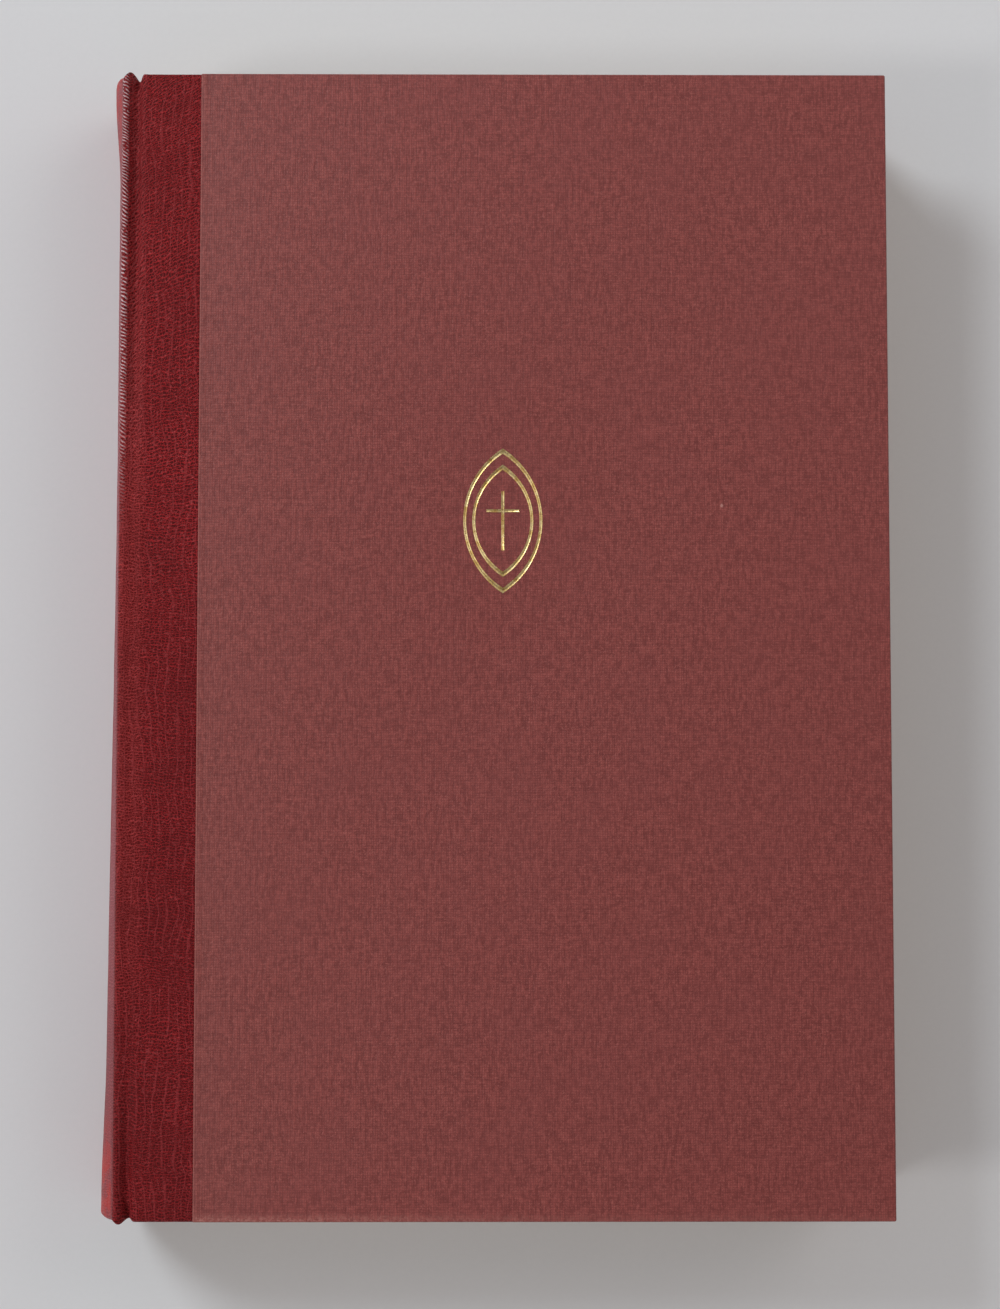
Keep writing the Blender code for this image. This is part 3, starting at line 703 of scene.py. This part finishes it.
def pointed_oval(width, height, inset):
    """The outline of two arcs that meet in points, drawn in by inset."""
    width -= 2 * inset * POINT_SLANT[0]
    height -= 2 * inset * POINT_SLANT[1]
    radius = (width**2 + height**2) / (4 * width)
    half_turn = math.asin(height / 2 / radius)
    turns = [half_turn * (2 * i / OVAL_STEPS - 1) for i in range(OVAL_STEPS)]
    right = [(radius * math.cos(t) + width / 2 - radius, radius * math.sin(t)) for t in turns]
    return right + [(-across, -up) for across, up in right]


def gilt_strokes():
    """(name, node, left edge, right edge, closed) of each line, about the ornament's middle."""
    low, high = (Vector(corner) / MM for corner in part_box("gilt_outer_oval"))
    size = (high.x - low.x, high.y - low.y)
    strokes = []
    for node, inset in (("gilt_outer_oval", 0.0), ("gilt_inner_oval", ORNAMENT_RING_GAP)):
        outer, inner = pointed_oval(*size, inset), pointed_oval(*size, inset + GILT_LINE)
        strokes.append((node + "_foil", node, inner, outer, True))
    half, arm, top = GILT_LINE / 2, CROSS_SIZE[0] / 2, CROSS_SIZE[1] / 2
    bar = top - CROSS_BAR_DROP
    ups = (-top, STROKE_END - top, top - STROKE_END, top)
    alongs = (-arm, STROKE_END - arm, arm - STROKE_END, arm)
    upright = [[(across, up) for up in ups] for across in (half, -half)]
    arms = [[(along, up) for along in alongs] for up in (bar - half, bar + half)]
    strokes.append(("gilt_cross_upright", "gilt_cross", *upright, False))
    strokes.append(("gilt_cross_arms", "gilt_cross", *arms, False))
    return strokes


def stroke_rows(node, left, right, closed, profile):
    """Rows of points across a stroke, for (share of the width, height) pairs. Open ends run out flat."""
    low, high = (Vector(corner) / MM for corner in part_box(node))
    middle_x, middle_y = (low.x + high.x) / 2, (low.y + high.y) / 2
    rows = []
    for index, (a, b) in enumerate(zip(left, right)):
        at_end = not closed and index in (0, len(left) - 1)
        row = []
        for share, height in profile:
            x, y = mix(a[0], b[0], share) + middle_x, mix(a[1], b[1], share) + middle_y
            z = COVER_HIGH.z + (GILT_RIM if at_end else height)
            row.append((x * MM, y * MM, z * MM))
        rows.append(row)
    return rows


def make_ornament(material):
    """Lines of foil, each pressed into a groove in the cloth."""
    for name, node, left, right, closed in gilt_strokes():
        points = stroke_rows(node, left, right, closed, GILT_PROFILE)
        uvs = [[point[:2] for point in row] for row in points]
        foil = grid_object(name, points, uvs, closed)
        foil.data.materials.append(material)
        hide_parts(node)
        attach(foil, "front_cover")


def groove_cutters():
    """Solids that cut the ornament's grooves into the front cloth."""
    left_share = GROOVE_MARGIN / GILT_LINE
    right_share = 1 - left_share
    section = [(left_share, -GROOVE_DEPTH), (left_share, GROOVE_DEPTH)]
    section += [(right_share, GROOVE_DEPTH), (right_share, -GROOVE_DEPTH)]
    cutters = []
    for name, node, left, right, closed in gilt_strokes():
        if not closed:
            left, right = left[1:-1], right[1:-1]
        rows = stroke_rows(node, left, right, True, section)
        count = len(rows)
        faces = []
        for i in range(count if closed else count - 1):
            for j in range(4):
                corners = ((i, j), (i, (j + 1) % 4), ((i + 1) % count, (j + 1) % 4), ((i + 1) % count, j))
                faces.append([4 * row + column for row, column in corners])
        if not closed:
            faces += [[0, 1, 2, 3], [4 * count - 4 + j for j in range(4)]]
        mesh = bpy.data.meshes.new(name + "_groove")
        mesh.from_pydata([point for row in rows for point in row], [], faces)
        bm = bmesh.new()
        bm.from_mesh(mesh)
        bmesh.ops.recalc_face_normals(bm, faces=bm.faces)
        bm.to_mesh(mesh)
        bm.free()
        cutters.append(link(bpy.data.objects.new(name + "_groove", mesh)))
    return cutters


# ---------------------------------------------------------------- leaves

SHOULDER_RISE = 2.0  # how far the outermost fold is bent over towards the board
FAN_END_U, FAN_LENGTH = 1.2, 4.0  # the shoulder's bend dies out before this u
BEND_END_U, BEND_STEPS = 20.0, 40  # close steps, for the part that bends
FLAT_STEP, FLAT_STEPS = 7.0, 19
FOLD_ROUNDING = 0.12  # from a fold's line to where its leaves have their full thickness
CUT_EDGE_ROUNDING = 0.04
CUT_EDGE_ZONE = 1.0  # faces this close to the fore-edge belong to the cut edges
COVERS = ("front_cover", "back_cover")
TURNING = {joint["child"]: joint for joint in frame["joints"] if joint["child"] not in COVERS}
FOLD_U = BLOCK_LOW.x - JOINT_X  # the fold in the middle of the back
ARC_HALF_HEIGHT, ARC_SAGITTA = 10.5, 2.6  # the leather's round back
FOLDS_DEPTH = 2.4  # from the leather's outside to the folds
FOLD_RADIUS = (ARC_HALF_HEIGHT**2 + ARC_SAGITTA**2) / (2 * ARC_SAGITTA) - FOLDS_DEPTH


def fold_u(w):
    """Where a fold at this height lies on the round back."""
    return FOLD_U + FOLD_RADIUS - math.sqrt(FOLD_RADIUS**2 - w**2)


def fan(u, w, top_w):
    """The rise of a leaf near its fold, where the outer sections are bent over to make the shoulder."""
    return SHOULDER_RISE * (w / top_w) ** 3 * smoothstep(FAN_END_U - u, 0.0, FAN_LENGTH)


def leaf_outline(top, bottom, width):
    """The closed section of a bundle of leaves, this wide from fold to fore-edge: along the top and back."""
    middle = (top + bottom) / 2
    start = fold_u(middle) + FOLD_ROUNDING
    line = [start + (BEND_END_U - start) * i / BEND_STEPS for i in range(BEND_STEPS)]
    line += [BEND_END_U + i * FLAT_STEP for i in range(FLAT_STEPS)]
    top_end, bottom_end = fold_u(top) + width, fold_u(bottom) + width
    upper = [(u, top) for u in line] + [(top_end - CUT_EDGE_ROUNDING, top)]
    lower = [(bottom_end - CUT_EDGE_ROUNDING, bottom)] + [(u, bottom) for u in reversed(line)]
    tip = [(top_end, top - CUT_EDGE_ROUNDING), (bottom_end, bottom + CUT_EDGE_ROUNDING)]
    return [(start - FOLD_ROUNDING, middle)] + upper + tip + lower


def make_leaves(node, material, edges, block_top):
    """A section or a flyleaf: a bundle of leaves from fold to fore-edge."""
    low, high = (Vector(corner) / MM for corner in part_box(node))
    top, bottom = high.z - HALF_THICKNESS, low.z - HALF_THICKNESS
    fore_edge = high.x - JOINT_X
    outline = leaf_outline(top, bottom, fore_edge - fold_u((top + bottom) / 2))
    near_edge = max(u for u, w in outline) - CUT_EDGE_ZONE
    mesh = bpy.data.meshes.new(node + "_leaves")
    bm = bmesh.new()
    layer = bm.loops.layers.uv.new("UVMap")
    ends = (-HALF_BLOCK, HALF_BLOCK)
    rings = [[bm.verts.new(place(u, y, w + fan(u, w, block_top))) for u, w in outline] for y in ends]
    count = len(outline)

    def add_face(corners, on_cut_edge):
        """corners are (ring, index) pairs."""
        face = bm.faces.new([rings[ring][index] for ring, index in corners])
        face.material_index = int(on_cut_edge)
        for loop, (ring, index) in zip(face.loops, corners):
            u, w = outline[index]
            if not on_cut_edge:
                loop[layer].uv = (u * MM, ends[ring] * MM)
            elif len({ring for ring, index in corners}) == 1:
                loop[layer].uv = (u * MM, w * MM)
            else:
                loop[layer].uv = (ends[ring] * MM, w * MM)

    for i in range(count):
        j = (i + 1) % count
        on_fore_edge = min(outline[i][0], outline[j][0]) > near_edge
        add_face([(0, i), (0, j), (1, j), (1, i)], on_fore_edge)
    for ring in (0, 1):
        for i in range(count // 2):
            opposite = [(count - i - 1) % count, (count - i) % count]
            corners = list(dict.fromkeys([i, i + 1, *opposite]))
            if len(corners) > 2:
                add_face([(ring, k) for k in corners], True)
    bmesh.ops.recalc_face_normals(bm, faces=bm.faces)
    bm.to_mesh(mesh)
    bm.free()
    shade(mesh, 35)
    leaves = link(bpy.data.objects.new(node + "_leaves", mesh))
    leaves.data.materials.append(material)
    leaves.data.materials.append(edges)
    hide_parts(node, "sewn_folds")
    if node in TURNING:
        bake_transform(leaves)
    else:
        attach(leaves, "text_block")
    return leaves


def make_text_block(paper, endpaper, edges):
    """All the sections and flyleaves."""
    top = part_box("front_flyleaf")[1][2] / MM - HALF_THICKNESS
    for node in sorted(frame["nodes"]):
        if node.startswith("section_"):
            make_leaves(node, paper, edges, top)
        elif node.endswith("_flyleaf"):
            make_leaves(node, endpaper, edges, top)


# ---------------------------------------------------------------- headbands

THREAD_PITCH = 0.36  # from one turn of silk to the next
STEPS_PER_TURN = 4
BAND_SIDES = 16
THREAD_RELIEF = 0.07  # as a share of the band's radius
CLOSED_END = 0.03


def make_headband(node, material):
    """Silk wound round a core that lies along the round back, at one end of the leaves."""
    low, high = (Vector(corner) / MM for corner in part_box(node))
    radius = (high.y - low.y) / 2
    middle_u, middle_y = low.x - JOINT_X + radius, (low.y + high.y) / 2
    path_radius = FOLD_RADIUS - (middle_u - FOLD_U)
    half_turn = math.asin((high.z - HALF_THICKNESS) / path_radius)
    steps = STEPS_PER_TURN * round(2 * half_turn * path_radius / THREAD_PITCH)
    points, uvs = [], []
    for side in range(BAND_SIDES):
        around = 2 * math.pi * side / BAND_SIDES
        row, row_uv = [], []
        for step in range(steps + 1):
            turn = half_turn * (2 * step / steps - 1)
            closing = CLOSED_END if step in (0, steps) else 1.0
            lay = step / STEPS_PER_TURN + side / BAND_SIDES  # the silk's turns lie aslant
            swell = 1 - THREAD_RELIEF + THREAD_RELIEF * abs(math.sin(math.pi * lay))
            reach = closing * radius * swell
            out = path_radius + reach * math.cos(around)
            u = middle_u + path_radius - out * math.cos(turn)
            row.append(place(u, middle_y + reach * math.sin(around), out * math.sin(turn)))
            row_uv.append((turn * path_radius * MM, around * radius * MM))
        points.append(row)
        uvs.append(row_uv)
    band = grid_object(node + "_silk", points, uvs, closed=True)
    band.data.materials.append(material)
    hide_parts(node)
    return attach(band, "text_block")


# ---------------------------------------------------------------- stage


# Metres, degrees and watts
FLOOR_SIZE = 12.0
FLOOR_DROP = 0.00002  # keeps the floor clear of the book's underside
LIGHTS = (  # name, bearing, elevation, distance, radius, power, colour
    ("key", 136.6, 35.6, 2.60, 0.448, 28.0, (0.89, 0.955, 1.0)),
    ("fill", 199.9, 40.2, 3.00, 0.323, 14.4, (0.97, 0.97, 0.95)),
    ("reflector", 35.0, 36.0, 1.5, 0.5, 2.7, (1.0, 0.95, 0.93)),
)
WORLD_COLOUR = (1.0, 0.945, 0.93, 1)
WORLD_STRENGTH, OVERHEAD_STRENGTH = 0.42, 0.13
DIMMING = (0.80, 0.97)  # heights on the sky's unit sphere over which it dims


def make_floor(material):
    bpy.ops.mesh.primitive_plane_add(size=FLOOR_SIZE, location=(0, 0, -FLOOR_DROP))
    floor = bpy.context.object
    floor.name = "floor"
    floor.data.materials.append(material)


# Millimetres and degrees
CAMERA_U, CAMERA_Y, CAMERA_HEIGHT = 72.1, -37.3, 547.8
CAMERA_TURN = (3.76, -0.41, 0.03)
CAMERA_LENS = 68.75
SENSOR = 36.0


def make_camera():
    camera = bpy.data.cameras.new("camera")
    camera.lens = CAMERA_LENS
    camera.sensor_width = SENSOR
    camera.clip_start = 0.01
    obj = link(bpy.data.objects.new("camera", camera))
    obj.location = ((JOINT_X + CAMERA_U) * MM, CAMERA_Y * MM, CAMERA_HEIGHT * MM)
    obj.rotation_mode = "YXZ"
    obj.rotation_euler = Euler([math.radians(angle) for angle in CAMERA_TURN], "YXZ")
    bpy.context.scene.camera = obj


def make_light(name, bearing, elevation, distance, radius, power, colour):
    """A round soft light that faces the book: bearing is its direction from +X towards +Y."""
    light = bpy.data.lights.new(name, "AREA")
    light.shape = "DISK"
    light.size = 2 * radius
    light.energy = power
    light.color = colour
    obj = link(bpy.data.objects.new(name, light))
    flat = math.cos(math.radians(elevation)) * distance
    across, along = flat * math.cos(math.radians(bearing)), flat * math.sin(math.radians(bearing))
    obj.location = (across, along, distance * math.sin(math.radians(elevation)))
    obj.rotation_euler = obj.location.to_track_quat("Z", "Y").to_euler()


def make_world():
    """Soft light from all round, but dim straight above, where the camera stands."""
    world = bpy.data.worlds.new("studio")
    world.use_nodes = True
    nodes, links = world.node_tree.nodes, world.node_tree.links
    height = nodes.new("ShaderNodeSeparateXYZ")
    links.new(nodes.new("ShaderNodeTexCoord").outputs["Generated"], height.inputs["Vector"])
    dimming = nodes.new("ShaderNodeMapRange")
    dimming.interpolation_type = "SMOOTHSTEP"
    links.new(height.outputs["Z"], dimming.inputs["Value"])
    dimming.inputs["From Min"].default_value, dimming.inputs["From Max"].default_value = DIMMING
    dimming.inputs["To Min"].default_value = WORLD_STRENGTH
    dimming.inputs["To Max"].default_value = OVERHEAD_STRENGTH
    background = nodes["Background"]
    background.inputs["Color"].default_value = WORLD_COLOUR
    links.new(dimming.outputs["Result"], background.inputs["Strength"])
    bpy.context.scene.world = world


def make_stage():
    make_floor(floor_material())
    make_camera()
    for light in LIGHTS:
        make_light(*light)
    make_world()
    bpy.context.scene.view_settings.view_transform = "Standard"


# ---------------------------------------------------------------- the whole book


def dress(node, material):
    """Gives a CAD node that stays in view its detailed material."""
    frame["nodes"][node].data.materials[0] = material


def main():
    leather = leather_material()
    cloth = cloth_material()
    paper = paper_material("leaf_paper", srgb(238, 232, 217), srgb(232, 224, 206))
    endpaper = paper_material("endpaper_sheet", srgb(230, 222, 203), srgb(221, 211, 188))
    make_leather("upper_leather", 1, ["spine_leather", "front_leather"], leather)
    make_leather("lower_leather", -1, ["spine_leather", "back_leather"], leather)
    make_cloth("front_cloth_side", 1, "front_cover", "front_cloth", cloth, groove_cutters())
    make_cloth("back_cloth_side", -1, "back_cover", "back_cloth", cloth)
    make_ornament(gold_material())
    make_text_block(paper, endpaper, page_edge_material())
    card = fibre_material("card_board", srgb(176, 162, 136), srgb(146, 132, 108), 900)
    kraft = fibre_material("kraft_paper", srgb(190, 160, 118), srgb(160, 130, 92), 1500)
    for node in ("front_board", "back_board"):
        dress(node, card)
    make_stiffener(card)
    dress("spine_lining", kraft)
    for node in ("front_pastedown", "back_pastedown"):
        dress(node, endpaper)
    dress("mull", woven_material("starched_mull", srgb(222, 214, 194), srgb(150, 138, 112), 0.9))
    tape = woven_material("linen_weave", srgb(226, 216, 192), srgb(176, 162, 132), 0.5)
    for node in ("head_tape", "middle_tape", "tail_tape"):
        dress(node, tape)
    thread = fibre_material("waxed_thread", srgb(232, 224, 202), srgb(204, 192, 162), 4000)
    for node in ("head_kettle_stitch", "tail_kettle_stitch"):
        dress(node, thread)
    silk = silk_material()
    for node in ("headband", "tailband"):
        make_headband(node, silk)
    make_stage()


main()
